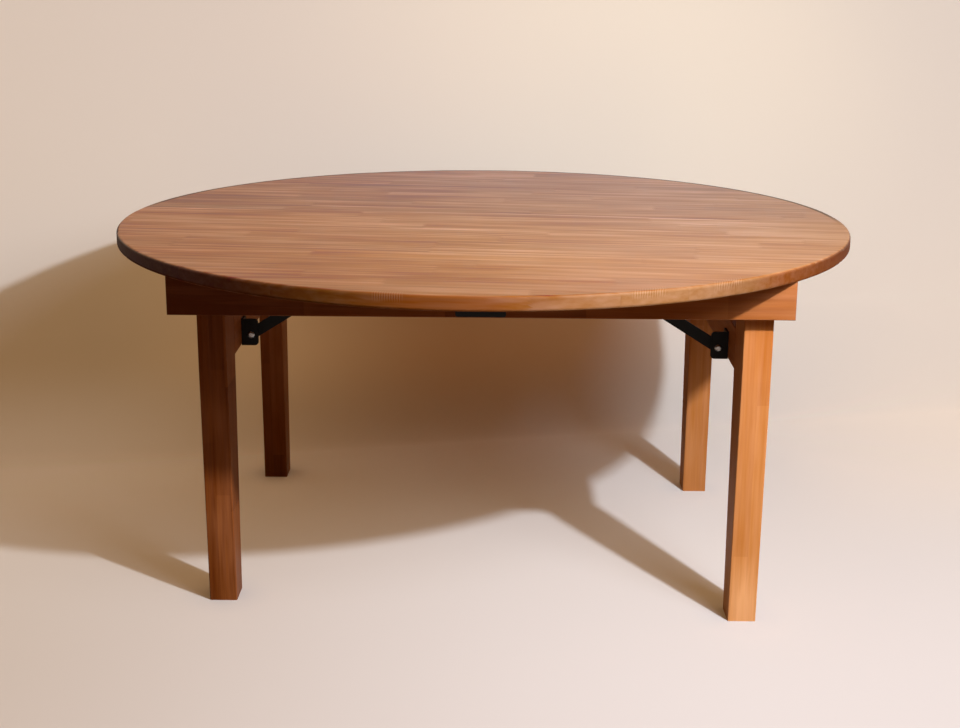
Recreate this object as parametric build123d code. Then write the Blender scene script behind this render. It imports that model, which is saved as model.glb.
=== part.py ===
from build123d import *
import os
from math import asin, cos, degrees, hypot, radians, sin, sqrt

# Round low table with folding legs, in millimetres.
# +Z is up, the floor is Z = 0 and the origin is on the floor under the middle of the top.
# The front of the table faces -Y. The top carries two apron rails along X, and between them
# two leg frames fold inward about Y. Each frame is two legs, a cross rail and two flat stays
# whose pins slide in slotted plates under the top.
# The left frame is the right frame turned half a turn about Z, so the frames fold side by side.

# Whole table
table_height = 472.0

# Tabletop of edge-glued boards
top_diameter = 1000.0
top_thickness = 18.0
top_edge_round = 3.5
board_turn = -5.0
board_seams = [-380.0, -257.0, -175.0, -93.0, 38.0, 150.0, 266.0, 385.0]

# Apron rails along the front and back
rail_height = 48.0
rail_thickness = 18.0
rail_arris = 1.2
rail_corner_inset = 2.4

# Leg frames
frame_width = 558.0
leg_width = 36.0
leg_depth = 64.0
foot_depth = 42.0
leg_arris = 1.6
leg_top_gap = 0.5
leg_end_margin = 22.0
leg_side_gap = 1.0
leg_fold_clearance = 2.0

# Pivots of the leg frames
pivot_above_rail_edge = 7.0
pivot_pin_radius = 4.0
pivot_pin_in_leg = 40.0
pivot_pin_in_rail = 12.0
pivot_pin_chamfer = 0.6
pivot_washer_rim = 2.5
pivot_washer_thickness = 0.7
pivot_block_width = 50.0

# Cross rails
cross_rail_height = 52.0
cross_rail_thickness = 22.0
cross_rail_below_rails = 31.0
tenon_length = 24.0
tenon_thickness = 12.0
tenon_shoulder = 6.0

# Brackets on the cross rails
bracket_from_leg = 52.5
bracket_height = 36.0
bracket_reach = 22.5
bracket_foot_length = 24.0
bracket_corner_round = 5.0
plate_thickness = 3.0
bracket_below_rail = 1.0
bracket_fold_gap = 2.5
bracket_screw_inset = 9.5
bracket_screw_along_foot = 17.0

# Stays
stay_length = 200.0
stay_width = 15.0
stay_folded_dip = 4.25
stay_from_ear = 1.0
stay_spacer_radius = 6.5
stay_bolt_radius = 2.5
stay_bolt_from_rail = 13.0
stay_bolt_above_bracket_end = 14.5
bolt_head_radius = 4.75
bolt_head_top_radius = 2.85
bolt_head_height = 2.75
bolt_end_past_nut = 1.5
nut_across_flats = 8.0
nut_height = 4.0
slide_pin_radius = 3.0
slide_pin_drop = 11.0
slide_pin_head_radius = 5.5
slide_pin_head_height = 2.0

# Slotted plates under the top
slot_clearance = 0.4
slot_wall = 5.0
slot_plate_flange = 18.0
slot_plate_corner = 4.0
slot_plate_gap = 1.0
slot_steps = 12
flange_screw_inset = 14.0
flange_screw_from_web = 10.0

# Cleats, batten and blank plate
cleat_size = 20.0
cleat_from_block = 8.0
cleat_from_leg = 3.0
cleat_up_screw_inset = 30.0
cleat_side_screw_inset = 60.0
cleat_side_screw_level = 8.0
cleat_screws_each_way = 4
batten_width = 80.0
batten_height = 20.0
batten_from_stays = 2.0
batten_screw_inset = 30.0
batten_screw_count = 5
blank_plate_width = 61.0
blank_plate_height = 24.0
blank_plate_thickness = 1.5
blank_plate_above_edge = 1.2
blank_plate_corner = 3.0
blank_plate_screw_inset = 6.0

# Screws
wood_screw_radius = 2.0
wood_screw_head = 4.0
small_screw_radius = 1.6
small_screw_head = 3.4
small_screw_head_top = 2.4
small_screw_head_height = 1.7
screw_bite_in_top = 12.0
screw_bite_in_rail = 11.0
small_screw_length = 13.0
block_screw_drop = 10.0
block_screw_spacing = 28.0

# Fits
running_clearance = 0.06
joint_clearance = 0.05
face_gap = 0.3

# The fold
fold_angle = 90.0

# Levels, and the pivot's place in the leg that lets the folded brackets clear the top
top_underside = table_height - top_thickness
rail_bottom = top_underside - rail_height
pivot_z = rail_bottom + pivot_above_rail_edge
cross_rail_top = rail_bottom - cross_rail_below_rails
cross_rail_bottom = cross_rail_top - cross_rail_height
bracket_bottom = cross_rail_bottom - bracket_below_rail
bolt_z = bracket_bottom + stay_bolt_above_bracket_end
slide_pin_z = top_underside - slide_pin_drop
cleat_bottom = top_underside - cleat_size
batten_bottom = top_underside - batten_height
pivot_from_inner_face = top_underside - pivot_z - bracket_reach - bracket_fold_gap
pivot_from_outer_face = leg_width - pivot_from_inner_face
blank_plate_z = rail_bottom + blank_plate_above_edge + blank_plate_height / 2
blank_plate_screw_x = blank_plate_width / 2 - blank_plate_screw_inset
blank_plate_screw_xs = (-blank_plate_screw_x, blank_plate_screw_x)


def rail_half_length_for(outer_y):
    """Half the rail length that keeps its corners just inside the rim of the top."""
    return sqrt((top_diameter / 2 - rail_corner_inset) ** 2 - outer_y**2)


def stagger_for(pivot):
    """Offset along Y between the frames that lets the folded legs lie side by side."""
    past_centre = pivot_z - pivot
    level = max(0.0, min(2 * past_centre, cross_rail_bottom))
    half_depth = (foot_depth + (leg_depth - foot_depth) * level / cross_rail_bottom) / 2
    return foot_depth / 2 + half_depth + leg_fold_clearance


# The stagger sets how far out the rails stand, and the rails' length sets the pivots,
# so the two are settled together by a short fixed-point loop.
leg_stagger = foot_depth
for _ in range(8):
    rail_inner_y = (frame_width + leg_stagger) / 2 + leg_side_gap
    rail_half_length = rail_half_length_for(rail_inner_y + rail_thickness)
    leg_outer_x = rail_half_length - leg_end_margin
    pivot_x = leg_outer_x - pivot_from_outer_face
    leg_stagger = stagger_for(pivot_x)

rail_outer_y = rail_inner_y + rail_thickness
leg_inner_x = leg_outer_x - leg_width
leg_top = top_underside - leg_top_gap
leg_top_radius = leg_top - pivot_z
leg_sweep = hypot(pivot_from_outer_face, leg_top_radius)
front_leg_y = -(frame_width + leg_stagger) / 2 + leg_depth / 2
back_leg_y = front_leg_y + frame_width - leg_depth
frame_front_y = front_leg_y + leg_depth / 2
frame_back_y = back_leg_y - leg_depth / 2
bolt_x = leg_inner_x - stay_bolt_from_rail

# Places along Y across a bracket and stay, counted from the bracket's outer face
# towards the middle of the frame
stay_near = plate_thickness + stay_from_ear
stay_far = stay_near + plate_thickness
slot_near = stay_far + slot_plate_gap
slot_far = slot_near + plate_thickness

# The stay's angle above the horizontal, legs open, and how fast it turns with the fold
stay_open_angle = degrees(asin((slide_pin_z - bolt_z) / stay_length))
stay_turn_rate = (stay_open_angle + stay_folded_dip) / fold_angle


def slide_pin_place(fold):
    """X and Z of the right frame's slide pins at a fold angle in degrees."""
    turn = radians(fold)
    rel_x = bolt_x - pivot_x
    rel_z = bolt_z - pivot_z
    x = pivot_x + rel_x * cos(turn) + rel_z * sin(turn)
    z = pivot_z - rel_x * sin(turn) + rel_z * cos(turn)
    stay = radians(stay_open_angle - stay_turn_rate * fold)
    return x - stay_length * cos(stay), z + stay_length * sin(stay)


slot_path = [slide_pin_place(fold_angle * i / slot_steps) for i in range(slot_steps + 1)]


def block(x_range, y_range, z_range):
    """A box between two X, two Y and two Z values."""
    size = [b - a for a, b in (x_range, y_range, z_range)]
    middle = [(a + b) / 2 for a, b in (x_range, y_range, z_range)]
    return Pos(*middle) * Box(*size)


def rod(start, end, radius, end_radius=None):
    """A round bar, or a cone, from one point to another."""
    axis = Vector(*end) - Vector(*start)
    base = Plane(origin=start, z_dir=axis)
    on_start = (Align.CENTER, Align.CENTER, Align.MIN)
    if end_radius is None:
        return base * Cylinder(radius, axis.length, align=on_start)
    return base * Cone(radius, end_radius, axis.length, align=on_start)


def half_turn(shape):
    """The same piece on the other side of the table."""
    return Rot(0, 0, 180) * shape


def xz_plate(face, y_start, y_end):
    """A flat face drawn in X and Z, given thickness from one Y to another."""
    plane = Plane(origin=(0, max(y_start, y_end), 0), x_dir=(1, 0, 0), z_dir=(0, -1, 0))
    return extrude(plane * face, amount=abs(y_end - y_start))


def countersunk_screw(head, direction, length, spare=0.0):
    """Wood screw with its head flush; spare grows it into the hole it sits in."""
    way = Vector(*direction).normalized()
    start = Vector(*head)
    head_end = start + way * (wood_screw_head - wood_screw_radius)
    tip = start + way * length
    cone = rod(start, head_end, wood_screw_head + spare, wood_screw_radius + spare)
    shank = rod(head_end, tip + way * spare, wood_screw_radius + spare)
    return cone + shank


def pan_screw(seat, direction, spare=0.0):
    """Small screw whose round head stands on the plate it holds."""
    way = Vector(*direction).normalized()
    start = Vector(*seat)
    head_top = start - way * small_screw_head_height
    tip = start + way * (small_screw_length + spare)
    head = rod(head_top, start, small_screw_head_top, small_screw_head)
    shank = rod(start, tip, small_screw_radius + spare)
    if spare:
        return shank
    return head + shank


def spread(start, end, count):
    """Evenly spaced values, ends included."""
    return [start + (end - start) * i / (count - 1) for i in range(count)]


# Screw places. Each entry is a head point, the way it is driven and its length.
block_middle_x = (leg_outer_x + leg_inner_x) / 2
block_y_range = (back_leg_y + leg_depth / 2 + leg_side_gap, rail_inner_y)
block_screw_z = top_underside - block_screw_drop
cleat_start_x = -block_middle_x + pivot_block_width / 2 + cleat_from_block
cleat_end_x = pivot_x - leg_sweep - cleat_from_leg
cleat_y_range = (-rail_inner_y, -rail_inner_y + cleat_size)
cleat_screw_y = -rail_inner_y + cleat_size / 2

front_cleat_screws = []
first_x = cleat_start_x + cleat_up_screw_inset
last_x = cleat_end_x - cleat_up_screw_inset
for x in spread(first_x, last_x, cleat_screws_each_way):
    head = (x, cleat_screw_y, cleat_bottom)
    front_cleat_screws.append((head, (0, 0, 1), cleat_size + screw_bite_in_top))
first_x = cleat_start_x + cleat_side_screw_inset
last_x = cleat_end_x - cleat_side_screw_inset
for x in spread(first_x, last_x, cleat_screws_each_way):
    head = (x, cleat_y_range[1], cleat_bottom + cleat_side_screw_level)
    front_cleat_screws.append((head, (0, -1, 0), cleat_size + screw_bite_in_rail))

batten_half_length = rail_inner_y - cleat_size - joint_clearance
batten_screw_reach = batten_half_length - batten_screw_inset
batten_screws = []
for y in spread(-batten_screw_reach, batten_screw_reach, batten_screw_count):
    batten_screws.append(((0, y, batten_bottom), (0, 0, 1), batten_height + screw_bite_in_top))

back_block_screws = []
block_screw_length = block_y_range[1] - block_y_range[0] + screw_bite_in_rail
for x in (block_middle_x - block_screw_spacing / 2, block_middle_x + block_screw_spacing / 2):
    head = (x, block_y_range[0], block_screw_z)
    back_block_screws.append((head, (0, 1, 0), block_screw_length))


def screw_group(places, spare=0.0):
    """All the countersunk screws of a list of places."""
    return [countersunk_screw(head, way, length, spare) for head, way, length in places]


def cut(piece, holes):
    """The piece without its holes."""
    for hole in holes:
        piece = piece - hole
    return piece


def both_sides(shapes):
    """A list of shapes and the same shapes half a turn round."""
    return shapes + [half_turn(shape) for shape in shapes]


wood_holes = both_sides(screw_group(front_cleat_screws, joint_clearance))
wood_holes += screw_group(batten_screws, joint_clearance)
wood_holes += both_sides(screw_group(back_block_screws, joint_clearance))


# Slotted plates: each side of the right frame has its own outer face and way to the middle.
stay_sides = {
    "front": (frame_front_y + bracket_from_leg, 1),
    "back": (frame_back_y - bracket_from_leg, -1),
}
slot_half_width = slide_pin_radius + slot_clearance
slot_xs = [x for x, _ in slot_path]
slot_zs = [z for _, z in slot_path]
slot_margin = slot_half_width + slot_wall
slot_plate_x_range = (min(slot_xs) - slot_margin, max(slot_xs) + slot_margin)
flange_screw_xs = (
    slot_plate_x_range[0] + flange_screw_inset,
    slot_plate_x_range[1] - flange_screw_inset,
)


def across(side, distance):
    """Y at a distance from a bracket's outer face, towards the middle of the frame."""
    outer_face, way = stay_sides[side]
    return outer_face + way * distance


def slot_plate_screws(side, spare=0.0):
    """The two screws that hold one slotted plate to the top."""
    y = across(side, slot_far + flange_screw_from_web)
    seat_z = top_underside - plate_thickness
    return [pan_screw((x, y, seat_z), (0, 0, 1), spare) for x in flange_screw_xs]


plate_holes = []
for side in stay_sides:
    plate_holes += both_sides(slot_plate_screws(side, joint_clearance))


def tabletop_boards():
    """The round top, cut into its glued boards along slightly turned seams."""
    disc = Pos(0, 0, top_underside + top_thickness / 2) * Cylinder(top_diameter / 2, top_thickness)
    rims = disc.edges().filter_by(GeomType.CIRCLE)
    disc = fillet(rims, top_edge_round)
    disc = cut(disc, wood_holes + plate_holes)
    reach = top_diameter
    limits = [-reach] + board_seams + [reach]
    boards = []
    for low, high in zip(limits, limits[1:]):
        strip = block((-reach, reach), (low, high), (0, table_height + reach))
        boards.append(disc & (Rot(0, 0, board_turn) * strip))
    return boards


def pivot_bore(face_y, way):
    """The hole a pivot pin turns in, from a face at Y into the wood along Y."""
    start = (pivot_x, face_y - way, pivot_z)
    end = (pivot_x, face_y + way * (pivot_pin_in_rail + face_gap), pivot_z)
    return rod(start, end, pivot_pin_radius + running_clearance)


def front_rail():
    """The front apron rail, with the pivot bore of the right frame."""
    x_range = (-rail_half_length, rail_half_length)
    rail = block(x_range, (-rail_outer_y, -rail_inner_y), (rail_bottom, top_underside))
    long_edges = rail.edges().filter_by(Axis.X).sort_by(Axis.Z)[:2]
    end_edges = rail.edges().filter_by(Axis.Z).sort_by(Axis.Y)[:2]
    rail = fillet(long_edges + end_edges, rail_arris)
    bore = pivot_bore(-rail_inner_y, -1)
    return cut(rail - bore, wood_holes)


def front_cleat():
    """The square strip that joins the front rail to the top."""
    strip = block((cleat_start_x, cleat_end_x), cleat_y_range, (cleat_bottom, top_underside))
    return cut(strip, wood_holes)


def centre_batten():
    """The strip across the boards, cut back wherever a longer stay would reach it."""
    half = batten_width / 2
    reach = (-batten_half_length, batten_half_length)
    strip = block((-half, half), reach, (batten_bottom, top_underside))
    rooms = both_sides([stay_room(side) for side in stay_sides])
    return cut(strip, wood_holes + rooms)


def stay_room(side):
    """The space under the top that a folded stay and its slotted plate need."""
    low_x = min(slot_plate_x_range[0], min(slot_xs) - stay_width / 2) - batten_from_stays
    near = across(side, stay_near - slide_pin_head_height - batten_from_stays)
    far = across(side, slot_far + slot_plate_flange + batten_from_stays)
    z_range = (batten_bottom - 1, top_underside + 1)
    return block((low_x, pivot_x), sorted((near, far)), z_range)


def back_pivot_block():
    """The block that fills the gap between the back rail and the right frame's back leg."""
    half = pivot_block_width / 2
    x_range = (block_middle_x - half, block_middle_x + half)
    body = block(x_range, block_y_range, (rail_bottom, top_underside))
    bore = pivot_bore(block_y_range[0], 1)
    return cut(body - bore, wood_holes)


def leg(middle_y, inward):
    """A leg at its Y; inward is the way along Y from this leg to the other one."""
    half = leg_depth / 2
    foot_half = foot_depth / 2
    side = Plane.YZ * Polygon(
        (middle_y - foot_half, 0),
        (middle_y + foot_half, 0),
        (middle_y + half, cross_rail_bottom),
        (middle_y + half, leg_top),
        (middle_y - half, leg_top),
        (middle_y - half, cross_rail_bottom),
        align=None,
    )
    body = Pos(leg_inner_x, 0, 0) * extrude(side, amount=leg_width)
    upright = [edge for edge in body.edges() if abs((edge % 0.5).Z) > 0.9]
    body = fillet(upright, leg_arris)
    # The inner top corner is rounded about the pivot so that the leg can swing under the top.
    y_range = (middle_y - half - 1, middle_y + half + 1)
    corner = block((leg_inner_x - 1, pivot_x), y_range, (pivot_z, leg_top + 1))
    swing = rod((pivot_x, y_range[0] - 1, pivot_z), (pivot_x, y_range[1] + 1, pivot_z), leg_top_radius)
    body = body - (corner - swing)
    inner_face = middle_y + inward * half
    mortise = tenon(inner_face + inward, inner_face - inward * tenon_length, joint_clearance)
    outer_face = middle_y - inward * half
    bore_start = (pivot_x, outer_face - inward, pivot_z)
    bore_end = (pivot_x, outer_face + inward * (pivot_pin_in_leg + face_gap), pivot_z)
    return body - mortise - rod(bore_start, bore_end, pivot_pin_radius + joint_clearance)


def tenon(y_start, y_end, spare=0.0):
    """The tongue of the cross rail, or the mortise for it when grown by a clearance."""
    middle_x = leg_inner_x + cross_rail_thickness / 2
    half = tenon_thickness / 2 + spare
    z_range = (cross_rail_bottom + tenon_shoulder - spare, cross_rail_top - tenon_shoulder + spare)
    low = min(y_start, y_end) - spare
    high = max(y_start, y_end) + spare
    return block((middle_x - half, middle_x + half), (low, high), z_range)


def cross_rail():
    """The board that joins the two legs, tenoned into both."""
    x_range = (leg_inner_x, leg_inner_x + cross_rail_thickness)
    body = block(x_range, (frame_front_y, frame_back_y), (cross_rail_bottom, cross_rail_top))
    body = fillet(body.edges().filter_by(Axis.Y), rail_arris)
    body += tenon(frame_front_y, frame_front_y - tenon_length)
    body += tenon(frame_back_y, frame_back_y + tenon_length)
    holes = []
    for side in stay_sides:
        holes += bracket_screws(side, joint_clearance)
    return cut(body, holes)


def pivot_pin(outer_face, outward):
    """A steel pin, pressed into the leg and turning in the rail or the block."""
    inner_end = (pivot_x, outer_face - outward * pivot_pin_in_leg, pivot_z)
    outer_end = (pivot_x, outer_face + outward * (leg_side_gap + pivot_pin_in_rail), pivot_z)
    pin = rod(inner_end, outer_end, pivot_pin_radius)
    return chamfer(pin.edges().filter_by(GeomType.CIRCLE), pivot_pin_chamfer)


def pivot_washer(outer_face, outward):
    """The thin washer between a leg and what it turns against."""
    start = (pivot_x, outer_face, pivot_z)
    end = (pivot_x, outer_face + outward * pivot_washer_thickness, pivot_z)
    hole_radius = pivot_pin_radius + face_gap
    return rod(start, end, hole_radius + pivot_washer_rim) - rod(start, end, hole_radius)


def stay_bracket(side):
    """An angle bracket: a foot on the cross rail and an ear for the stay's bolt."""
    ear_x_range = (leg_inner_x - bracket_reach, leg_inner_x)
    middle_x = sum(ear_x_range) / 2
    middle_z = bracket_bottom + bracket_height / 2
    ear_face = Pos(middle_x, middle_z) * Rectangle(bracket_reach, bracket_height)
    inner_corners = ear_face.vertices().sort_by(Axis.X)[:2]
    ear_face = fillet(inner_corners, bracket_corner_round)
    ear_face -= Pos(bolt_x, bolt_z) * Circle(stay_bolt_radius + joint_clearance)
    ear = xz_plate(ear_face, across(side, 0), across(side, plate_thickness))
    foot_x_range = (leg_inner_x - plate_thickness, leg_inner_x)
    foot_y_range = sorted((across(side, 0), across(side, bracket_foot_length)))
    foot = block(foot_x_range, foot_y_range, (bracket_bottom, bracket_bottom + bracket_height))
    foot = cut(foot, bracket_screws(side, joint_clearance))
    return ear + foot


def bracket_screws(side, spare=0.0):
    """The two screws that hold one bracket to the cross rail."""
    y = across(side, bracket_screw_along_foot)
    x = leg_inner_x - plate_thickness
    bracket_top = bracket_bottom + bracket_height
    levels = (bracket_bottom + bracket_screw_inset, bracket_top - bracket_screw_inset)
    return [pan_screw((x, y, z), (1, 0, 0), spare) for z in levels]


def stay_bolt(side):
    """The bolt that joins the stay to the bracket, with its domed head outside."""
    head_start = (bolt_x, across(side, -bolt_head_height), bolt_z)
    face = (bolt_x, across(side, 0), bolt_z)
    end_across = stay_far + face_gap + nut_height + bolt_end_past_nut
    end = (bolt_x, across(side, end_across), bolt_z)
    head = rod(head_start, face, bolt_head_top_radius, bolt_head_radius)
    return head + rod(face, end, stay_bolt_radius)


def stay_nut(side):
    """The nut on the inner end of the stay's bolt."""
    shape = Pos(bolt_x, bolt_z) * RegularPolygon(nut_across_flats / 2, 6, major_radius=False)
    shape -= Pos(bolt_x, bolt_z) * Circle(stay_bolt_radius + joint_clearance)
    start = stay_far + face_gap
    return xz_plate(shape, across(side, start), across(side, start + nut_height))


def stay_spacer(side):
    """The washer between the bracket's ear and the stay."""
    shape = Pos(bolt_x, bolt_z) * Circle(stay_spacer_radius)
    shape -= Pos(bolt_x, bolt_z) * Circle(stay_bolt_radius + joint_clearance)
    return xz_plate(shape, across(side, plate_thickness), across(side, stay_near - face_gap))


def stay(side):
    """The flat bar from the bracket's bolt up to the slide pin."""
    pin_x, pin_z = slot_path[0]
    middle = Pos((bolt_x + pin_x) / 2, (bolt_z + pin_z) / 2)
    bar = middle * Rot(0, 0, -stay_open_angle) * SlotCenterToCenter(stay_length, stay_width)
    bar -= Pos(bolt_x, bolt_z) * Circle(stay_bolt_radius + running_clearance)
    bar -= Pos(pin_x, pin_z) * Circle(slide_pin_radius + joint_clearance)
    return xz_plate(bar, across(side, stay_near), across(side, stay_far))


def slide_pin(side):
    """The headed pin fixed in the stay's upper end, which slides in the slotted plate."""
    x, z = slot_path[0]
    near_head = (stay_near - slide_pin_head_height, stay_near)
    far_start = slot_far + face_gap
    far_head = (far_start, far_start + slide_pin_head_height)
    pin = rod((x, across(side, near_head[1]), z), (x, across(side, far_head[0]), z), slide_pin_radius)
    for start, end in (near_head, far_head):
        pin += rod((x, across(side, start), z), (x, across(side, end), z), slide_pin_head_radius)
    return pin


def slot_plate(side):
    """The angle plate under the top, with the slot that guides one slide pin."""
    low_x, high_x = slot_plate_x_range
    low_z = min(slot_zs) - slot_margin
    web = Polygon(
        (low_x, top_underside),
        (low_x, low_z),
        (slot_xs[-1] + slot_margin, low_z),
        (high_x, slot_zs[0] - slot_margin),
        (high_x, top_underside),
        align=None,
    )
    web = fillet(web.vertices().sort_by(Axis.Y)[:3], slot_plate_corner)
    for (x0, z0), (x1, z1) in zip(slot_path, slot_path[1:]):
        slot_run = SlotCenterPoint((0, 0), ((x1 - x0) / 2, (z1 - z0) / 2), slot_half_width * 2)
        web -= Pos((x0 + x1) / 2, (z0 + z1) / 2) * slot_run
    plate = xz_plate(web, across(side, slot_near), across(side, slot_far))
    flange_end = across(side, slot_far + slot_plate_flange)
    y_range = sorted((across(side, slot_near), flange_end))
    flange = block(slot_plate_x_range, y_range, (top_underside - plate_thickness, top_underside))
    return cut(plate + flange, slot_plate_screws(side, joint_clearance))


def blank_plate():
    """The plain dark plate at the middle of the front rail."""
    shape = Pos(0, blank_plate_z) * RectangleRounded(
        blank_plate_width, blank_plate_height, blank_plate_corner
    )
    for x in blank_plate_screw_xs:
        shape -= Pos(x, blank_plate_z) * Circle(small_screw_radius + joint_clearance)
    return xz_plate(shape, -rail_outer_y - blank_plate_thickness, -rail_outer_y)


def blank_plate_screws(spare=0.0):
    """The two screws that hold the blank plate."""
    y = -rail_outer_y - blank_plate_thickness
    return [pan_screw((x, y, blank_plate_z), (0, 1, 0), spare) for x in blank_plate_screw_xs]


def right_frame_pieces():
    """Every node of the right leg frame and its stays, by name without the side."""
    front_outer = front_leg_y - leg_depth / 2
    back_outer = back_leg_y + leg_depth / 2
    pieces = {
        "front_leg": leg(front_leg_y, 1),
        "back_leg": leg(back_leg_y, -1),
        "cross_rail": cross_rail(),
        "front_pivot_pin": pivot_pin(front_outer, -1),
        "back_pivot_pin": pivot_pin(back_outer, 1),
        "pivot_washers": [pivot_washer(front_outer, -1), pivot_washer(back_outer, 1)],
        "bracket_screws": bracket_screws("front") + bracket_screws("back"),
        "stay_bolts": [stay_bolt(side) for side in stay_sides],
        "stay_nuts": [stay_nut(side) for side in stay_sides],
        "stay_spacers": [stay_spacer(side) for side in stay_sides],
    }
    for side in stay_sides:
        pieces[side + "_bracket"] = stay_bracket(side)
        pieces[side + "_stay"] = stay(side)
        pieces[side + "_slide_pin"] = slide_pin(side)
        pieces[side + "_slot_plate"] = slot_plate(side)
    return pieces


opposite = {"front": "back", "back": "front"}


def left_name(name):
    """The left frame's name for a piece of the right frame turned half round."""
    first, _, rest = name.partition("_")
    return "left_" + opposite.get(first, first) + "_" + rest


def table_pieces():
    """Every node of the table by name, each one solid or a list of solids."""
    pieces = {}
    for number, board in enumerate(tabletop_boards(), start=1):
        pieces[f"top_board_{number}"] = board
    rail = front_rail()
    pieces["front_rail"] = cut(rail, blank_plate_screws(joint_clearance))
    pieces["back_rail"] = half_turn(rail)
    pieces["front_cleat"] = front_cleat()
    pieces["back_cleat"] = half_turn(front_cleat())
    pieces["centre_batten"] = centre_batten()
    pieces["back_pivot_block"] = back_pivot_block()
    pieces["front_pivot_block"] = half_turn(back_pivot_block())
    pieces["cleat_screws"] = both_sides(screw_group(front_cleat_screws))
    pieces["batten_screws"] = screw_group(batten_screws)
    pieces["pivot_block_screws"] = both_sides(screw_group(back_block_screws))
    pieces["blank_plate"] = blank_plate()
    pieces["blank_plate_screws"] = blank_plate_screws()
    plate_screws = []
    for side in stay_sides:
        plate_screws += both_sides(slot_plate_screws(side))
    pieces["slot_plate_screws"] = plate_screws
    for name, piece in right_frame_pieces().items():
        pieces["right_" + name] = piece
        if isinstance(piece, list):
            pieces[left_name(name)] = [half_turn(solid) for solid in piece]
        else:
            pieces[left_name(name)] = half_turn(piece)
    return pieces


def save(name, piece):
    """Write one node, a single solid or a group of separate solids."""
    shapes = piece if isinstance(piece, list) else [piece]
    solids = [solid for shape in shapes for solid in shape.solids()]
    whole = solids[0] if len(solids) == 1 else Compound(children=solids)
    export_step(whole, f"parts/{name}.step")


def main():
    os.makedirs("parts", exist_ok=True)
    for name, piece in table_pieces().items():
        save(name, piece)
    print("rails reach", round(rail_half_length, 2), "and the leg pivots stand at X", round(pivot_x, 2))
    print("stagger", round(leg_stagger, 2), "stay turn rate", round(stay_turn_rate, 5))


main()
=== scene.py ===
from math import cos, pi, radians, sin

import bpy
from mathutils import Matrix, Vector


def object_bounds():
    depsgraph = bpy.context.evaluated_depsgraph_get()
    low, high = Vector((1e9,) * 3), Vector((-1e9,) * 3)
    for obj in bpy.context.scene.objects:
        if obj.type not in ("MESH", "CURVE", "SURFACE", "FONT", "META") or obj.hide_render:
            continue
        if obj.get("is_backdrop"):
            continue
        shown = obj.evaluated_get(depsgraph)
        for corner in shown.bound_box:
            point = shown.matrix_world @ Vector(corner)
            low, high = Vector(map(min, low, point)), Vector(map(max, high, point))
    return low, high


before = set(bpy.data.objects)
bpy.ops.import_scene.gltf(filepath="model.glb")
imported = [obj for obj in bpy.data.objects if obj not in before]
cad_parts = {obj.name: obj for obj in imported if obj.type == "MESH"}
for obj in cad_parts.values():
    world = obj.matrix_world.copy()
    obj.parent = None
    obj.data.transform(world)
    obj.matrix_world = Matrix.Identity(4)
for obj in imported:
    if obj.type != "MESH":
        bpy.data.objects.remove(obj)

cad_low, cad_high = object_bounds()

# Looks of a round low table with folding legs, in metres: procedural woods and metals for
# its parts, a pale backdrop sweep, one lamp at the front right and a camera at the front.

TOP_RADIUS = 0.500
TOP_LEVEL = cad_high[2]

# Camera: where it stands, where it looks in radians, and its lens
CAMERA_PLACE = (0.0166, -2.1076, 0.8280)
CAMERA_YAW = -0.0095
CAMERA_PITCH = 0.2624
CAMERA_ROLL = 0.0068
CAMERA_FOCAL = 1522.40
IMAGE_WIDTH = 960
SENSOR_WIDTH = 36.0

# Lamp: a small bright disc in the middle of a wide dim one, each with its size and power
LAMP_PLACE = (0.812, -1.193, 1.240)
LAMP_TARGET = (-0.60, 0.20, 0.20)
LAMP_DISCS = {"bright_disc": (0.06, 29.5), "wide_disc": (0.70, 11.5)}
LAMP_POWER = sum(power for size, power in LAMP_DISCS.values())

# Room: a dim warm fill light, and the pale tone that the camera and gloss see
FILL_COLOUR = (1.0, 0.52, 0.27)
FILL_STRENGTH = 0.125
ROOM_COLOUR = (0.80, 0.70, 0.61)

# Backdrop: a flat floor that curves up into a wall behind the table, turned a little from it
FLOOR_REACH = 6.0
SWEEP_START = 0.440
SWEEP_RADIUS = 0.184
SWEEP_TURN = 0.235
WALL_TOP = 3.4
SWEEP_STEPS = 48

WHITE = (1.0, 1.0, 1.0)


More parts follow.
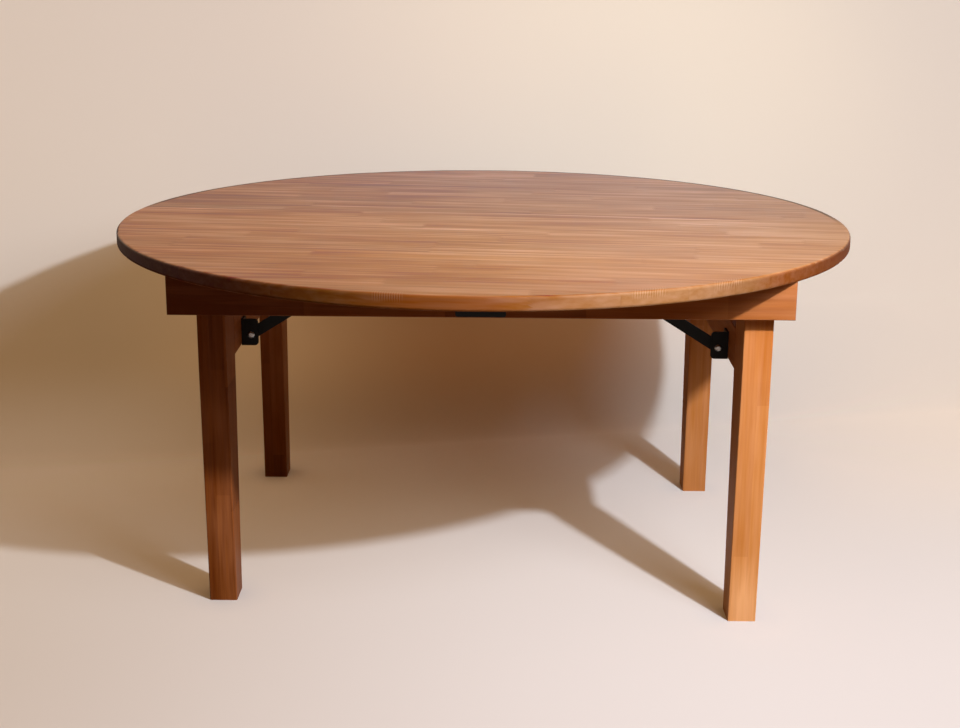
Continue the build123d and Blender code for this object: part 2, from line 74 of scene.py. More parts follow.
class Graph:
    """Shader nodes of a material or a world, added by short calls that return their output
    socket."""

    def __init__(self, owner):
        owner.use_nodes = True
        self.owner = owner
        self.tree = owner.node_tree
        self.tree.nodes.clear()

    def node(self, kind, inputs=(), **settings):
        made = self.tree.nodes.new(kind)
        for key, value in settings.items():
            setattr(made, key, value)
        for key, value in dict(inputs).items():
            self.put(made.inputs[key], value)
        return made

    def put(self, socket, value):
        """Links an output to this input, or sets a value. A colour may leave out its alpha."""
        if isinstance(value, bpy.types.NodeSocket):
            self.tree.links.new(value, socket)
            return
        if socket.type == "RGBA" and len(value) == 3:
            value = (*value, 1.0)
        socket.default_value = value

    def place(self):
        """Where a point is in the part's own axes."""
        return self.node("ShaderNodeTexCoord").outputs["Object"]

    def math(self, operation, a, b=0.0):
        return self.node("ShaderNodeMath", {0: a, 1: b, 2: 0.0}, operation=operation).outputs[0]

    def add(self, a, b):
        return self.math("ADD", a, b)

    def subtract(self, a, b):
        return self.math("SUBTRACT", a, b)

    def times(self, a, b):
        return self.math("MULTIPLY", a, b)

    def hypotenuse(self, a, b):
        return self.math("SQRT", self.add(self.times(a, a), self.times(b, b)))

    def ramp(self, value, low, high, start=0.0, end=1.0):
        """start below low, end above high, smooth between."""
        made = self.node(
            "ShaderNodeMapRange",
            {0: value, 1: low, 2: high, 3: start, 4: end},
            interpolation_type="SMOOTHSTEP",
        )
        return made.outputs[0]

    def vector(self, x, y, z):
        return self.node("ShaderNodeCombineXYZ", {0: x, 1: y, 2: z}).outputs[0]

    def split(self, vector):
        return self.node("ShaderNodeSeparateXYZ", {0: vector}).outputs[:3]

    def vectors(self, operation, a, b):
        """Vector maths that gives a vector."""
        return self.node("ShaderNodeVectorMath", {0: a, 1: b}, operation=operation).outputs[0]

    def measure(self, operation, a, b=(0.0, 0.0, 0.0)):
        """Vector maths that gives a number."""
        made = self.node("ShaderNodeVectorMath", {0: a, 1: b}, operation=operation)
        return made.outputs["Value"]

    def scale(self, vector, factor):
        made = self.node("ShaderNodeVectorMath", {0: vector, 3: factor}, operation="SCALE")
        return made.outputs[0]

    def noise(self, vector, detail=2.0, roughness=0.5):
        """Noise about 0, roughly from -0.5 to 0.5, at the scale its vector has."""
        inputs = {"Vector": vector, "Scale": 1.0, "Detail": detail, "Roughness": roughness}
        return self.subtract(self.node("ShaderNodeTexNoise", inputs).outputs[0], 0.5)

    def random(self, vector):
        """A random value from -0.5 to 0.5 for each different vector."""
        made = self.node("ShaderNodeTexWhiteNoise", {"Vector": vector})
        return self.subtract(made.outputs[0], 0.5)

    def blend(self, factor, a, b, way="MIX"):
        inputs = {0: factor, 6: a, 7: b}
        return self.node("ShaderNodeMix", inputs, data_type="RGBA", blend_type=way).outputs[2]

    def tint(self, colour, by):
        return self.blend(1.0, colour, by, "MULTIPLY")

    def colours(self, value, stops):
        """Colour along a list of (place, colour)."""
        made = self.node("ShaderNodeValToRGB", {0: value})
        points = made.color_ramp.elements
        while len(points) < len(stops):
            points.new(0.5)
        for point, (place, colour) in zip(points, stops):
            point.position = place
            point.color = (*colour, 1.0)
        return made.outputs[0]

    def edges(self, width):
        """1 on the arrises of a piece, 0 on its faces."""
        rounded = self.node("ShaderNodeBevel", {"Radius": width}, samples=4).outputs[0]
        true = self.node("ShaderNodeNewGeometry").outputs["True Normal"]
        return self.ramp(self.measure("DOT_PRODUCT", rounded, true), 0.995, 0.90)

    def bump(self, height, distance, strength):
        inputs = {"Height": height, "Distance": distance, "Strength": strength}
        return self.node("ShaderNodeBump", inputs).outputs[0]

    def background(self, colour, strength=1.0):
        inputs = {"Color": colour, "Strength": strength}
        return self.node("ShaderNodeBackground", inputs).outputs[0]

    def emission(self, colour, strength=1.0):
        inputs = {"Color": colour, "Strength": strength}
        return self.node("ShaderNodeEmission", inputs).outputs[0]

    def mix_shaders(self, factor, a, b):
        return self.node("ShaderNodeMixShader", {0: factor, 1: a, 2: b}).outputs[0]

    def finish(self, surface, kind="ShaderNodeOutputMaterial"):
        self.node(kind, {"Surface": surface})
        return self.owner

    def principled(self, inputs):
        return self.finish(self.node("ShaderNodeBsdfPrincipled", inputs).outputs[0])


def rgb(r, g, b):
    """A colour written as it looks on screen, 0 to 255, made linear."""
    return tuple(((v / 255 + 0.055) / 1.055) ** 2.4 if v > 10 else v / 255 / 12.92 for v in (r, g, b))


# Wood

WOOD_TONES = [
    (0.0, rgb(104, 50, 20)),
    (0.4, rgb(174, 104, 54)),
    (0.8, rgb(206, 138, 82)),
    (1.0, rgb(230, 164, 106)),
]
GLUE_LINE = (0.10, 0.035, 0.012)
# Lighter arrises of the frames: partly wear and partly a painted highlight
WORN_AND_HIGHLIT_EDGE = (0.66, 0.36, 0.18)
# Painted shade along the top's back arris
BACK_ARRIS_SHADE = (0.04, 0.02, 0.01)
END_GRAIN_TINT = (0.55, 0.48, 0.42)
DARKEST = 0.004

# Weights of rings, streaks, fibres and mottle in the tone, then of streaks, short streaks,
# fine streaks and mottle in the nearly neutral change
TOP_GRAIN = ((-0.03, 0.10, 0.03, 0.28), (0.90, 1.25, 1.20, 0.36))
FRAME_GRAIN = ((-0.05, 0.24, 0.24, 0.42), (0.10, 0.14, 0.14, 0.16))
STREAK_TINT = (1.0, 0.84, 0.80)
RIM_CONTRAST = 0.35

# Glued strips: the width and slope of the fingers that join the top's staves, the size of the
# frames' lamellas, how different the tones of strips are, and the most by which the ends of
# neighbours are shifted, in lengths of a strip
FINGER_WIDTH = 0.0022
FINGER_SLOPE = 3.2
LAMELLA_WIDTH = 0.018
LAMELLA_LENGTH = 0.17
STAVE_CONTRAST = 0.08
LAMELLA_CONTRAST = 0.18
LANE_SHIFT = 7.0

# Rings: how many half rings in a metre, how sharp their dark parts are and where their middle is
RING_DENSITY = 210.0
RING_SHARPNESS = 2.2
RING_MIDDLE = 0.35

# Teeth of the finger joints that the rim cuts
TOOTH_WIDTH = 0.0014
TOOTH_MIDDLE = 0.0005
TOOTH_CONTRAST = 240.0

# Varnish: the weights of its coat, its reflections on the top's face and rim and on the frames,
# its roughness, and the height of the fibres under it
TOP_COAT = 0.40
FRAME_COAT = 0.03
COAT_ROUGHNESS = 0.30
FACE_SPECULAR = 0.25
RIM_SPECULAR = 0.08
FRAME_SPECULAR = 0.06
ROUGHNESS = 0.47
RELIEF = 0.00012

# Painted light on the tabletop: tints of its face along u and along v, and of its rim along u,
# edge to edge. They paint in the lamp's light and shade, the paler sheen of reflections on the
# face and the highlight along the rim's arris. The back of the rim has one plain tint.
FACE_PAINTED_LIGHT = [
    (0.00, (1.17, 1.07, 0.72)),
    (0.30, (1.09, 1.13, 0.80)),
    (0.50, (1.07, 1.28, 1.38)),
    (0.75, (1.06, 1.38, 1.80)),
    (1.00, (0.91, 1.14, 1.35)),
]
DEPTH_PAINTED_LIGHT = [
    (0.00, (0.60, 0.48, 0.20)),
    (0.08, (0.70, 0.58, 0.28)),
    (0.22, (0.90, 0.85, 0.56)),
    (0.40, (0.99, 1.00, 0.93)),
    (0.75, (1.03, 1.05, 1.05)),
    (1.00, (1.12, 1.10, 1.00)),
]
RIM_PAINTED_LIGHT = [
    (0.000, (0.20, 0.11, 0.05)),
    (0.105, (0.27, 0.16, 0.08)),
    (0.190, (0.31, 0.20, 0.19)),
    (0.355, (0.38, 0.42, 0.37)),
    (0.470, (0.47, 0.40, 0.22)),
    (0.560, (0.52, 0.49, 0.41)),
    (0.650, (0.74, 1.04, 1.70)),
    (0.735, (0.64, 0.90, 1.27)),
    (0.825, (0.69, 1.01, 1.65)),
    (0.895, (0.67, 0.70, 0.86)),
    (0.955, (0.55, 0.50, 0.42)),
    (1.000, (0.46, 0.36, 0.25)),
]
BACK_RIM_TINT = (0.80, 0.78, 0.72)


def grain_frame(graph, axis, turn=0.0):
    """u along the grain, v and w across it, how squarely a face cuts the grain, and how far it
    faces along w, from -1 to 1."""
    coordinates = graph.node("ShaderNodeTexCoord")
    place, normal = coordinates.outputs["Object"], coordinates.outputs["Normal"]
    if turn:
        turned = {"Rotation": (0.0, 0.0, turn)}
        place = graph.node("ShaderNodeMapping", {0: place, **turned}, vector_type="POINT").outputs[0]
        normal = graph.node("ShaderNodeMapping", {0: normal, **turned}, vector_type="NORMAL").outputs[0]
    parts, normals = graph.split(place), graph.split(normal)
    order = {"X": (0, 1, 2), "Y": (1, 0, 2), "Z": (2, 0, 1)}[axis]
    u, v, w = (parts[i] for i in order)
    end_grain = graph.ramp(graph.math("ABSOLUTE", normals[order[0]]), 0.45, 0.85)
    return u, v, w, end_grain, normals[order[2]]


def glued_strips(graph, u, lane_index, length, shift):
    """Lengths along each lane of glued strips, shifted from lane to lane, and a random value for
    each strip."""
    lane_random = graph.random(graph.vector(lane_index, shift, 0.5))
    along = graph.add(graph.math("DIVIDE", u, length), graph.times(lane_random, LANE_SHIFT))
    strip_random = graph.random(graph.vector(lane_index, graph.math("FLOOR", along), shift))
    return along, strip_random


def top_staves(graph, u, v, w, shift, first, width, length):
    """A random value for each stave of a board of the tabletop, and 1 on its finger joints and
    less on its long seams."""
    lane = graph.math("DIVIDE", graph.subtract(v, first), width)
    fingers = graph.math("PINGPONG", graph.add(v, w), FINGER_WIDTH)
    fingers = graph.times(graph.subtract(fingers, FINGER_WIDTH / 2), FINGER_SLOPE)
    lane_index = graph.math("FLOOR", lane)
    along, stave_random = glued_strips(graph, graph.add(u, fingers), lane_index, length, shift)
    from_joint = graph.times(graph.math("PINGPONG", along, 0.5), length)
    joint = graph.ramp(from_joint, 0.0002, 0.0011, 1.0, 0.0)
    from_seam = graph.times(graph.math("PINGPONG", lane, 0.5), width)
    seam = graph.ramp(from_seam, 0.0, 0.0007, 0.5, 0.0)
    return stave_random, graph.math("MAXIMUM", joint, seam)


def growth_rings(graph, u, v, w, seed, piece_seed):
    """Rings round a heart that lies off to one side."""
    heart_v = 0.07 + 0.05 * sin(seed * 2.1)
    heart_w = -0.11 - 0.04 * cos(seed * 1.3)
    wander = graph.noise(graph.vector(graph.times(u, 2.0), graph.times(v, 9.0), piece_seed), 2.0)
    dv = graph.add(graph.add(v, heart_v), graph.times(wander, 0.030))
    dw = graph.add(graph.add(w, heart_w), graph.times(wander, 0.018))
    ring = graph.math("PINGPONG", graph.times(graph.hypotenuse(dv, dw), RING_DENSITY), 1.0)
    return graph.subtract(graph.math("POWER", ring, RING_SHARPNESS), RING_MIDDLE)


def with_marks(graph, grey, u, v, marks, streak, short_streak):
    """grey with single streaks added."""
    for start, end, level, slope, half_width, strength in marks:
        middle, reach = (start + end) / 2, (end - start) / 2
        from_middle = graph.subtract(u, middle)
        off_line = graph.subtract(v, graph.add(level, graph.times(from_middle, slope)))
        off_line = graph.math("ABSOLUTE", graph.add(off_line, graph.times(streak, 0.008)))
        across = graph.ramp(off_line, half_width * 0.3, half_width, strength, 0.0)
        across = graph.times(across, graph.ramp(short_streak, -0.12, 0.05, 0.4, 1.0))
        along = graph.ramp(graph.math("ABSOLUTE", from_middle), reach * 0.6, reach, 1.0, 0.0)
        grey = graph.add(grey, graph.times(across, along))
    return grey


def with_combs(graph, grey, u, v, w, combs, short_streak, from_axis):
    """grey with the teeth of finger joints added, on the front of the rim near its upper
    arris."""
    for start, end in combs:
        teeth = graph.math("PINGPONG", graph.add(u, graph.times(short_streak, 0.004)), TOOTH_WIDTH)
        teeth = graph.times(graph.subtract(teeth, TOOTH_MIDDLE), TOOTH_CONTRAST)
        from_middle = graph.math("ABSOLUTE", graph.subtract(u, (start + end) / 2))
        width = end - start
        reach = graph.ramp(from_middle, width * 0.4, width * 0.5, 1.0, 0.0)
        reach = graph.times(reach, graph.ramp(v, -0.25, -0.30))
        reach = graph.times(reach, graph.ramp(w, TOP_LEVEL - 0.011, TOP_LEVEL - 0.003))
        at_rim = graph.ramp(from_axis, TOP_RADIUS - 0.015, TOP_RADIUS - 0.009)
        grey = graph.add(grey, graph.times(teeth, graph.times(reach, at_rim)))
    return grey


def top_painted_light(graph, colour, u, v, side, mottle):
    """Painted light, shade and reflection on the tabletop's face and its rim."""
    painted_face_light = graph.tint(
        graph.colours(graph.add(u, TOP_RADIUS), FACE_PAINTED_LIGHT),
        graph.colours(graph.add(v, TOP_RADIUS), DEPTH_PAINTED_LIGHT),
    )
    along_rim = graph.add(graph.add(u, TOP_RADIUS), graph.times(mottle, 0.08))
    painted_rim_light = graph.colours(along_rim, RIM_PAINTED_LIGHT)
    painted_rim_light = graph.blend(graph.ramp(v, 0.0, 0.15), painted_rim_light, BACK_RIM_TINT)
    return graph.tint(colour, graph.blend(side, painted_face_light, painted_rim_light))


def painted_back_arris_shade(graph, v, facing_up, from_axis):
    """1 on the upper arris of the rim at the back, which gets a painted shade, nearly black."""
    edge = graph.ramp(from_axis, TOP_RADIUS - 0.0105, TOP_RADIUS - 0.0065)
    edge = graph.times(edge, graph.ramp(v, 0.0, 0.12))
    return graph.times(edge, graph.ramp(facing_up, 0.5, 0.85))


def wood(name, axis, seed, tone, fade, turn=0.0, top=None, marks=(), combs=(), lit_end_tint=None):
    """Stained hardwood with a satin varnish. tone makes it lighter or darker, and fade does so
    along u and v; on the tabletop and on some frame pieces these partly paint light and shade.
    top is (first edge, width, length) of the glued strips of a board of the tabletop, which
    also gets painted light, shade and reflection across its face and rim, and a painted shade
    along its back arris. marks are single streaks: (u from, u to, v, slope, half width,
    strength). combs are finger joints on the front of the rim: (u from, u to). The last
    argument is (u from, u to, tint): a paler colour painted on the lit end of a piece. The
    frame pieces' arrises are lighter, partly from wear and partly as a painted highlight."""
    graph = Graph(bpy.data.materials.new(name))
    u, v, w, end_grain, facing_up = grain_frame(graph, axis, turn)
    shift = seed * 3.7
    value = graph.add(graph.times(u, fade[0]), graph.add(graph.times(v, fade[1]), 0.5 + tone))
    side = graph.ramp(graph.math("ABSOLUTE", facing_up), 0.97, 0.60)
    if top:
        contrast = graph.ramp(side, 0.0, 1.0, 1.0, RIM_CONTRAST)
        stave_random, joints = top_staves(graph, u, v, w, shift, *top)
        piece_seed = graph.add(graph.times(stave_random, 40.0), shift)
        value = graph.add(value, graph.times(stave_random, STAVE_CONTRAST))
    else:
        contrast, piece_seed, joints = 1.0, shift, 0.0
        lane_index = graph.math("FLOOR", graph.math("DIVIDE", v, LAMELLA_WIDTH))
        lamella_random = glued_strips(graph, u, lane_index, LAMELLA_LENGTH, shift)[1]
        value = graph.add(value, graph.times(lamella_random, LAMELLA_CONTRAST))

    def grain(along, across, detail, roughness=0.5):
        """Noise with so many features in a metre along the grain and across it."""
        depth = graph.add(graph.times(w, across), piece_seed)
        place = graph.vector(graph.times(u, along), graph.times(v, across), depth)
        return graph.noise(place, detail, roughness)

    ring = growth_rings(graph, u, v, w, seed, piece_seed)
    streak = grain(2.6, 46.0, 4.0, 0.62)
    short_streak = grain(3.6, 85.0, 3.0, 0.6)
    fine_streak = grain(5.0, 170.0, 2.0)
    fibre = grain(14.0, 420.0, 2.0)
    mottle = grain(7.0, 16.0, 2.0)
    value_weights, grey_weights = TOP_GRAIN if top else FRAME_GRAIN
    for part, weight in zip((ring, streak, fibre, mottle), value_weights):
        value = graph.add(value, graph.times(part, graph.times(contrast, weight)))
    grey = 0.0
    for part, weight in zip((streak, short_streak, fine_streak, mottle), grey_weights):
        grey = graph.add(grey, graph.times(part, graph.times(contrast, weight)))
    grey = with_marks(graph, grey, u, v, marks, streak, short_streak)

    colour = graph.colours(graph.times(value, 0.8), WOOD_TONES)
    colour = graph.blend(graph.times(joints, 0.14), colour, GLUE_LINE)
    colour = graph.blend(end_grain, colour, graph.tint(colour, END_GRAIN_TINT))
    roughness = graph.add(ROUGHNESS, graph.times(streak, 0.16))
    roughness = graph.add(roughness, graph.times(end_grain, 0.15))
    if top:
        grey = graph.times(grey, graph.ramp(u, -0.45, 0.45, 1.15, 0.70))
        from_axis = graph.hypotenuse(u, v)
        grey = with_combs(graph, grey, u, v, w, combs, short_streak, from_axis)
        # Painted light, shade and reflection across the top's face and rim
        colour = top_painted_light(graph, colour, u, v, side, mottle)
        # Painted shade: the back arris is painted nearly black and loses its coat there
        back_arris_shade = painted_back_arris_shade(graph, v, facing_up, from_axis)
        colour = graph.blend(graph.times(back_arris_shade, 0.85), colour, BACK_ARRIS_SHADE)
        coat = graph.ramp(facing_up, 0.1, 0.8, 0.0, TOP_COAT)
        coat = graph.times(coat, graph.subtract(1.0, back_arris_shade))
        roughness = graph.add(roughness, graph.ramp(facing_up, 0.0, -0.4, 0.0, 0.4))
        specular = graph.ramp(side, 0.0, 1.0, FACE_SPECULAR, RIM_SPECULAR)
    else:
        # Lighter arrises: partly wear and partly a painted highlight
        wear_and_highlight = graph.times(graph.edges(0.0022), graph.ramp(mottle, -0.25, 0.25, 0.02, 0.24))
        colour = graph.blend(wear_and_highlight, colour, WORN_AND_HIGHLIT_EDGE)
        coat, specular = FRAME_COAT, FRAME_SPECULAR
    # A paler colour painted on the lit end of a piece
    if lit_end_tint:
        start, end, tint = lit_end_tint
        colour = graph.blend(graph.ramp(u, start, end), colour, graph.tint(colour, tint))

    # The nearly neutral streaks go in step with how light the wood is
    grey = graph.times(grey, graph.split(colour)[0])
    change = graph.vector(*(graph.times(grey, part) for part in STREAK_TINT))
    colour = graph.vectors("MAXIMUM", graph.vectors("ADD", colour, change), (DARKEST,) * 3)
    relief = graph.add(graph.times(fibre, 0.8), graph.times(joints, -0.8))
    return graph.principled(
        {
            "Base Color": colour,
            "Roughness": roughness,
            "Normal": graph.bump(relief, RELIEF, 0.7),
            "Specular IOR Level": specular,
            "Coat Weight": coat,
            "Coat Roughness": COAT_ROUGHNESS,
            "Coat IOR": 1.5,
        }
    )


# Metals


def black_steel(name):
    """Black painted steel with a faint orange peel, worn a little along its edges."""
    graph = Graph(bpy.data.materials.new(name))
    place = graph.place()
    coarse = graph.noise(graph.scale(place, 60.0), 3.0)
    fine = graph.noise(graph.scale(place, 900.0), 2.0)
    paint = [(0.3, (0.004, 0.0035, 0.003)), (0.7, (0.008, 0.007, 0.006))]
    colour = graph.colours(graph.add(coarse, 0.5), paint)
    wear_and_highlight = graph.times(graph.edges(0.0012), graph.ramp(coarse, 0.0, 0.2, 0.02, 0.25))
    return graph.principled(
        {
            "Base Color": graph.blend(wear_and_highlight, colour, (0.06, 0.055, 0.05)),
            "Roughness": graph.add(0.46, graph.times(coarse, 0.25)),
            "Normal": graph.bump(fine, 0.00008, 0.6),
            "Specular IOR Level": 0.15,
        }
    )


def bright_steel(name):
    """Zinc plated steel with faint clouding."""
    graph = Graph(bpy.data.materials.new(name))
    place = graph.place()
    cloud = graph.noise(graph.scale(place, 260.0), 3.0)
    fine = graph.noise(graph.scale(place, 1800.0), 2.0)
    zinc = [(0.25, (0.42, 0.41, 0.39)), (0.75, (0.66, 0.65, 0.62))]
    return graph.principled(
        {
            "Base Color": graph.colours(graph.add(cloud, 0.5), zinc),
            "Metallic": 1.0,
            "Roughness": graph.add(0.34, graph.times(cloud, 0.30)),
            "Normal": graph.bump(fine, 0.00003, 0.5),
        }
    )


# Backdrop paper: its lit colours at the front and at the back of each side, its bright spot,
# what it gives back to the table at the front and at the back, and its tints in gloss
LIT_LEFT = ((0.25, 0.235, 0.215), (0.41, 0.42, 0.43))
LIT_RIGHT = ((0.675, 0.675, 0.72), (0.47, 0.50, 0.53))
SPOT_PLACE = (0.22, 0.70, 0.58)
SPOT_TINT = (1.34, 1.27, 1.14)
BOUNCE = ((0.22, 0.165, 0.115), (0.45, 0.34, 0.25))
SPOT_IN_GLOSS = (1.0, 1.10, 1.36)
WARM_IN_GLOSS = (1.0, 0.90, 0.62)

# Its glow: near the middle of the table's shadow, far from it, and on the floor at the left
GLOW_PLACE = (0.10, 0.60, 0.15)
GLOW_NEAR = (0.067, 0.022, 0.004)
GLOW_FAR = (0.195, 0.110, 0.046)
GLOW_LEFT_FLOOR = (0.32, 0.22, 0.14)

ROOM_CENTRE = (0.0, 0.0, 0.3)
LOWEST_LAMP_LEVEL = 0.1
FILL_LEVEL = 0.10


def lamp_level(graph, place, normal):
    """How strongly the lamp and the fill light a face, without shadows."""
    lamp_axis = (Vector(LAMP_PLACE) - Vector(LAMP_TARGET)).normalized()
    to_lamp = graph.vectors("SUBTRACT", LAMP_PLACE, place)
    facing = graph.measure("DOT_PRODUCT", to_lamp, normal)
    beam = graph.measure("DOT_PRODUCT", to_lamp, tuple(lamp_axis))
    away = graph.measure("LENGTH", to_lamp)
    level = graph.times(graph.times(facing, beam), LAMP_POWER / pi**2)
    level = graph.math("DIVIDE", level, graph.math("POWER", away, 4.0))
    return graph.add(graph.math("MAXIMUM", level, LOWEST_LAMP_LEVEL), FILL_LEVEL)


def gloss_tint(graph, along, height, spot):
    """The table's gloss sees the upper left of the paper warmer and its bright spot cooler."""
    warm = graph.times(graph.ramp(height, 0.59, 0.70), graph.ramp(along, 0.35, 0.0))
    warm = graph.math("MAXIMUM", warm, graph.ramp(along, -0.2, -0.6, 0.0, 0.3))
    return graph.blend(warm, graph.blend(spot, WHITE, SPOT_IN_GLOSS), WARM_IN_GLOSS)


def paper_glow(graph, place, along, depth, height):
    """The glow in the middle of the backdrop, at its left and at its right."""
    from_shadow = graph.measure("DISTANCE", place, GLOW_PLACE)
    glow = graph.blend(graph.ramp(from_shadow, 0.12, 0.80), GLOW_NEAR, GLOW_FAR)
    middle = graph.ramp(height, 0.0, 0.15, 1.08, 1.80)
    middle = graph.times(middle, graph.ramp(height, 0.20, 0.60, 1.0, 0.783))
    left = graph.ramp(height, 0.15, 0.50, 1.05, 1.41)
    right = graph.ramp(depth, -0.10, 0.40, 1.05, 1.42)
    strength = graph.ramp(along, -0.70, -0.30, left, middle)
    strength = graph.ramp(along, 0.40, 0.62, strength, right)
    left_floor = graph.times(graph.ramp(along, -0.3, -0.8), graph.ramp(height, 0.15, 0.0))
    return graph.blend(graph.times(left_floor, 0.5), graph.scale(glow, strength), GLOW_LEFT_FLOOR)


def backdrop_paper(name):
    """Pale matt backdrop. Its colour evens out the lamp's fall-off and then paints light in again,
    darker at the front left and lighter at the right, with a painted pool of light on the wall.
    It glows a little where it is seen, so that shadows on it stay light, and it shows only its
    front, so that a camera behind or below it sees the table."""
    graph = Graph(bpy.data.materials.new(name))
    place = graph.place()
    geometry = graph.node("ShaderNodeNewGeometry").outputs
    light = graph.node("ShaderNodeLightPath").outputs
    seen = graph.math("MAXIMUM", light["Is Camera Ray"], light["Is Glossy Ray"])
    along, depth, height = graph.split(place)

    to_back = graph.ramp(depth, -0.6, 0.65)
    left, right = graph.blend(to_back, *LIT_LEFT), graph.blend(to_back, *LIT_RIGHT)
    lit = graph.blend(graph.ramp(along, -1.1, 0.4), left, right)
    spot = graph.ramp(graph.measure("DISTANCE", place, SPOT_PLACE), 0.1, 0.75, 1.0, 0.0)
    lit = graph.tint(lit, graph.blend(spot, WHITE, SPOT_TINT))
    cloud = graph.add(1.0, graph.times(graph.noise(place, 3.0), 0.05))
    level = lamp_level(graph, place, geometry["Normal"])
    colour = graph.scale(lit, graph.math("DIVIDE", cloud, level))
    colour = graph.blend(seen, graph.blend(graph.ramp(depth, 0.1, 0.45), *BOUNCE), colour)
    in_gloss = gloss_tint(graph, along, height, spot)
    colour = graph.tint(colour, graph.blend(light["Is Glossy Ray"], WHITE, in_gloss))

    # The glow fades where pieces touch the floor, but not where the sweep starts
    contact = graph.node("ShaderNodeAmbientOcclusion", {"Distance": 0.05}, samples=8).outputs["AO"]
    to_sweep = graph.subtract(graph.times(depth, cos(SWEEP_TURN)), graph.times(along, sin(SWEEP_TURN)))
    on_floor = graph.ramp(height, 0.0, 0.001, 1.0, 0.0)
    at_sweep = graph.ramp(to_sweep, SWEEP_START - 0.05, SWEEP_START - 0.02)
    contact = graph.math("MAXIMUM", contact, graph.times(on_floor, at_sweep))
    glow = graph.emission(paper_glow(graph, place, along, depth, height), graph.times(seen, contact))
    paper = graph.node("ShaderNodeBsdfDiffuse", {"Color": colour}).outputs[0]
    paper = graph.node("ShaderNodeAddShader", {0: paper, 1: glow}).outputs[0]

    # Far from the table, and on the floor behind the sweep, the paper turns into the same pale
    # tone as the room
    distant = graph.ramp(graph.measure("DISTANCE", place, ROOM_CENTRE), 1.45, 2.2)
    hidden = graph.times(graph.ramp(to_sweep, SWEEP_START + 0.04, 1.1), on_floor)
    distant = graph.times(seen, graph.math("MAXIMUM", distant, hidden))
    paper = graph.mix_shaders(distant, paper, graph.emission(ROOM_COLOUR))
    clear = graph.node("ShaderNodeBsdfTransparent").outputs[0]
    return graph.finish(graph.mix_shaders(geometry["Backfacing"], paper, clear))


# Finishes of the parts. The grain of the top's boards runs five degrees off X, and their edges,
# the marks and the combs are in u and v.

BOARD_TURN = radians(5.0)
BOARD_EDGES = [-TOP_RADIUS, -0.380, -0.257, -0.175, -0.093, 0.038, 0.150, 0.266, 0.385, TOP_RADIUS]
BOARD_STAVES = [3, 3, 2, 2, 3, 3, 3, 3, 3]
BOARD_TONES = [-0.06, -0.03, -0.08, -0.03, -0.04, -0.11, -0.07, -0.12, -0.10]
# Painted light: each board gets lighter towards the top's right and its back
BOARD_PAINTED_LIGHT_FADE = (0.18, 0.05)
MARK_MARGIN = 0.01
TOP_MARKS = [
    # The first two marks, a light line beside a dark line along one joint, are a painted highlight and
    # a painted shade on the joint's two sides
    (-0.04, 0.40, 0.041, -0.042, 0.0045, 0.54),
    (-0.04, 0.44, 0.050, -0.042, 0.0045, -0.54),
    (-0.45, -0.27, 0.045, 0.139, 0.0045, 0.50),
    (-0.26, -0.10, 0.084, 0.05, 0.005, 0.40),
    (0.20, 0.33, 0.280, 0.138, 0.006, 0.40),
    (0.25, 0.48, -0.014, -0.16, 0.005, 0.36),
    (0.16, 0.40, -0.094, -0.026, 0.005, -0.40),
    (-0.13, 0.02, -0.090, 0.0, 0.004, 0.40),
    (-0.28, 0.14, 0.300, 0.0, 0.012, -0.29),
]
RIM_COMBS = ((-0.0765, -0.0385), (0.207, 0.247), (0.298, 0.336))
COMBED_BOARDS = 2

# Grain direction, seed, tone, its fade along the grain and a tint towards one end. On some
# pieces these paint light and shade, as noted at each.
FRAME_WOODS = {
    # Painted light and shade: darker towards its shaded left end, and a paler colour painted on its lit
    # right end
    "front_rail": ("X", 11, -0.30, 0.60, (0.22, 0.36, (1.02, 1.14, 1.55))),
    "back_rail": ("X", 12, 0.00, 0.0),
    "front_cleat": ("X", 13, -0.05, 0.0),
    "back_cleat": ("X", 14, -0.02, 0.0),
    "centre_batten": ("Y", 15, 0.03, 0.0),
    "back_pivot_block": ("X", 16, -0.03, 0.0),
    "front_pivot_block": ("X", 17, 0.02, 0.0),
    # Painted light: lighter towards its foot, where light from the lit floor falls on it
    "right_front_leg": ("Z", 18, 0.57, -1.10),
    "right_back_leg": ("Z", 19, 0.24, 0.32),
    "right_cross_rail": ("Y", 20, 0.00, 0.0),
    # Darker, partly for its wood and partly as painted shade
    "left_front_leg": ("Z", 21, -0.33, 0.10),
    "left_back_leg": ("Z", 22, -0.12, 0.35),
    "left_cross_rail": ("Y", 23, -0.03, 0.0),
}


def give(node, slot_name, material):
    """Puts a material in a part's slot of that name."""
    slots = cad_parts[node].material_slots
    for one in slots:
        if one.material.name.split(".")[0] == slot_name:
            one.material = material
            return
    raise ValueError(f"{node} has no slot {slot_name}")


for index, tone in enumerate(BOARD_TONES):
    low, high = BOARD_EDGES[index], BOARD_EDGES[index + 1]
    stave_width = (high - low) / BOARD_STAVES[index]
    stave_length = 0.36 + 0.05 * sin(index * 1.9)
    board = wood(
        f"board_{index + 1}_wood",
        "X",
        index + 1,
        tone,
        BOARD_PAINTED_LIGHT_FADE,
        turn=BOARD_TURN,
        top=(low, stave_width, stave_length),
        marks=[mark for mark in TOP_MARKS if low - MARK_MARGIN < mark[2] < high + MARK_MARGIN],
        combs=RIM_COMBS if index < COMBED_BOARDS else (),
    )
    give(f"top_board_{index + 1}", "top_wood", board)

for node, (axis, seed, tone, fade, *lit_end_tint) in FRAME_WOODS.items():
    lit_end_tint = lit_end_tint[0] if lit_end_tint else None
    give(node, "frame_wood", wood(f"{node}_wood", axis, seed, tone, (fade, 0.0), lit_end_tint=lit_end_tint))

shared = {"black_steel": black_steel("black_paint"), "bright_steel": bright_steel("zinc")}
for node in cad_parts.values():
    for one in node.material_slots:
        one.material = shared.get(one.material.name.split(".")[0], one.material)


# Backdrop


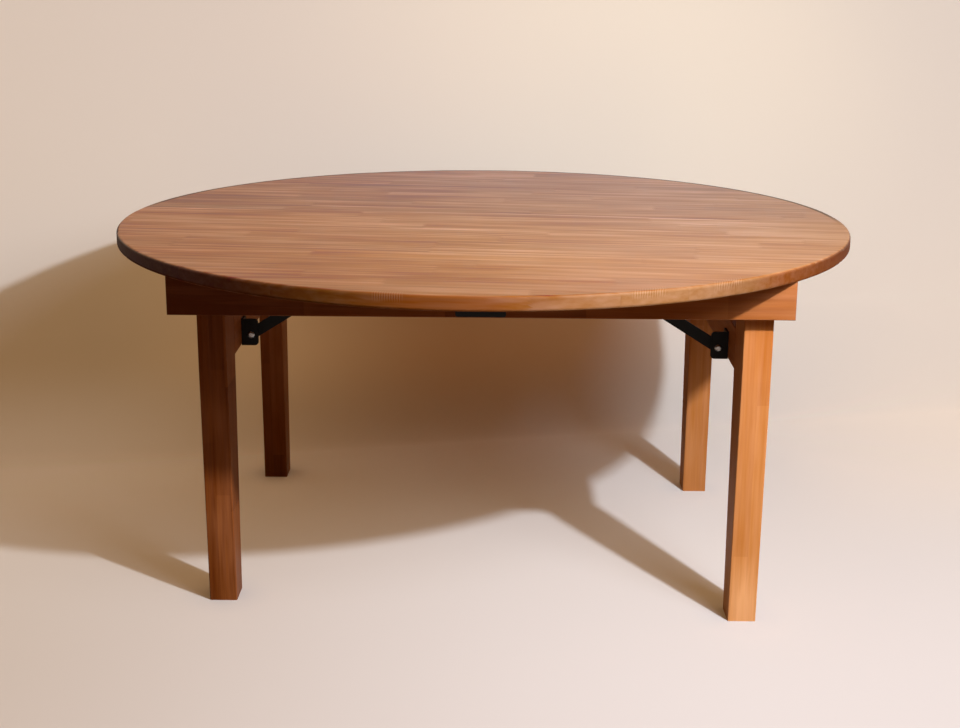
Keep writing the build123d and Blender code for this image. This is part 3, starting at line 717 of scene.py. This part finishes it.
def strip_mesh(name, profile, half_width, turn=0.0):
    """A sheet that is straight along X and follows (y, z) points, facing up and forward, turned
    about the origin."""
    turned = Matrix.Rotation(turn, 3, "Z")
    points = [turned @ Vector((x, y, z)) for y, z in profile for x in (-half_width, half_width)]
    faces = [(2 * i, 2 * i + 1, 2 * i + 3, 2 * i + 2) for i in range(len(profile) - 1)]
    mesh = bpy.data.meshes.new(name)
    mesh.from_pydata(points, [], faces)
    mesh.shade_smooth()
    sheet = bpy.data.objects.new(name, mesh)
    bpy.context.collection.objects.link(sheet)
    return sheet


paper = backdrop_paper("backdrop_paper")
floor = strip_mesh("floor", [(-FLOOR_REACH, 0.0), (FLOOR_REACH, 0.0)], FLOOR_REACH)
arc = [
    (
        SWEEP_START + SWEEP_RADIUS * sin(pi / 2 * i / SWEEP_STEPS),
        SWEEP_RADIUS * (1 - cos(pi / 2 * i / SWEEP_STEPS)),
    )
    for i in range(SWEEP_STEPS + 1)
]
sweep = strip_mesh("sweep", arc + [(SWEEP_START + SWEEP_RADIUS, WALL_TOP)], FLOOR_REACH, SWEEP_TURN)
sweep.visible_shadow = False
for sheet in (floor, sweep):
    sheet.data.materials.append(paper)
    sheet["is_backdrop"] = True


# Light

for name, (size, power) in LAMP_DISCS.items():
    disc_data = bpy.data.lights.new(name, "AREA")
    disc_data.shape = "DISK"
    disc_data.size = size
    disc_data.energy = power
    disc = bpy.data.objects.new(name, disc_data)
    bpy.context.collection.objects.link(disc)
    disc.location = LAMP_PLACE
    beam = Vector(LAMP_TARGET) - Vector(LAMP_PLACE)
    disc.rotation_euler = beam.to_track_quat("-Z", "Y").to_euler()
    # Gloss would show the bright disc as a glare
    disc.visible_glossy = name != "bright_disc"

# The camera sees the pale room, gloss sees it pale behind the table and dim in front of it, and
# all else is lit by the fill
world = bpy.data.worlds.new("studio")
bpy.context.scene.world = world
graph = Graph(world)
to_back = graph.split(graph.node("ShaderNodeTexCoord").outputs["Generated"])[1]
in_gloss = graph.node("ShaderNodeMapRange", {0: to_back, 1: -0.3, 2: 0.6, 3: 0.04, 4: 0.9}).outputs[0]
light = graph.node("ShaderNodeLightPath").outputs
in_gloss = graph.times(light["Is Glossy Ray"], in_gloss)
seen = graph.math("MAXIMUM", light["Is Camera Ray"], in_gloss)
fill = graph.background(FILL_COLOUR, FILL_STRENGTH)
graph.finish(graph.mix_shaders(seen, fill, graph.background(ROOM_COLOUR)), "ShaderNodeOutputWorld")

bpy.context.scene.view_settings.view_transform = "Standard"


# Camera

level = Vector((cos(CAMERA_YAW), -sin(CAMERA_YAW), 0.0))
forward = Vector(
    (
        sin(CAMERA_YAW) * cos(CAMERA_PITCH),
        cos(CAMERA_YAW) * cos(CAMERA_PITCH),
        -sin(CAMERA_PITCH),
    )
)
upward = level.cross(forward)
across_image = cos(CAMERA_ROLL) * level + sin(CAMERA_ROLL) * upward
up_image = -sin(CAMERA_ROLL) * level + cos(CAMERA_ROLL) * upward
camera_data = bpy.data.cameras.new("camera")
camera_data.sensor_width = SENSOR_WIDTH
camera_data.lens = CAMERA_FOCAL / IMAGE_WIDTH * SENSOR_WIDTH
camera = bpy.data.objects.new("camera", camera_data)
bpy.context.collection.objects.link(camera)
axes = Matrix((across_image, up_image, -forward)).transposed()
camera.matrix_world = Matrix.Translation(CAMERA_PLACE) @ axes.to_4x4()
bpy.context.scene.camera = camera


# Size of the visual model, found as the CAD box's was

bpy.context.view_layer.update()
low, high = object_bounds()
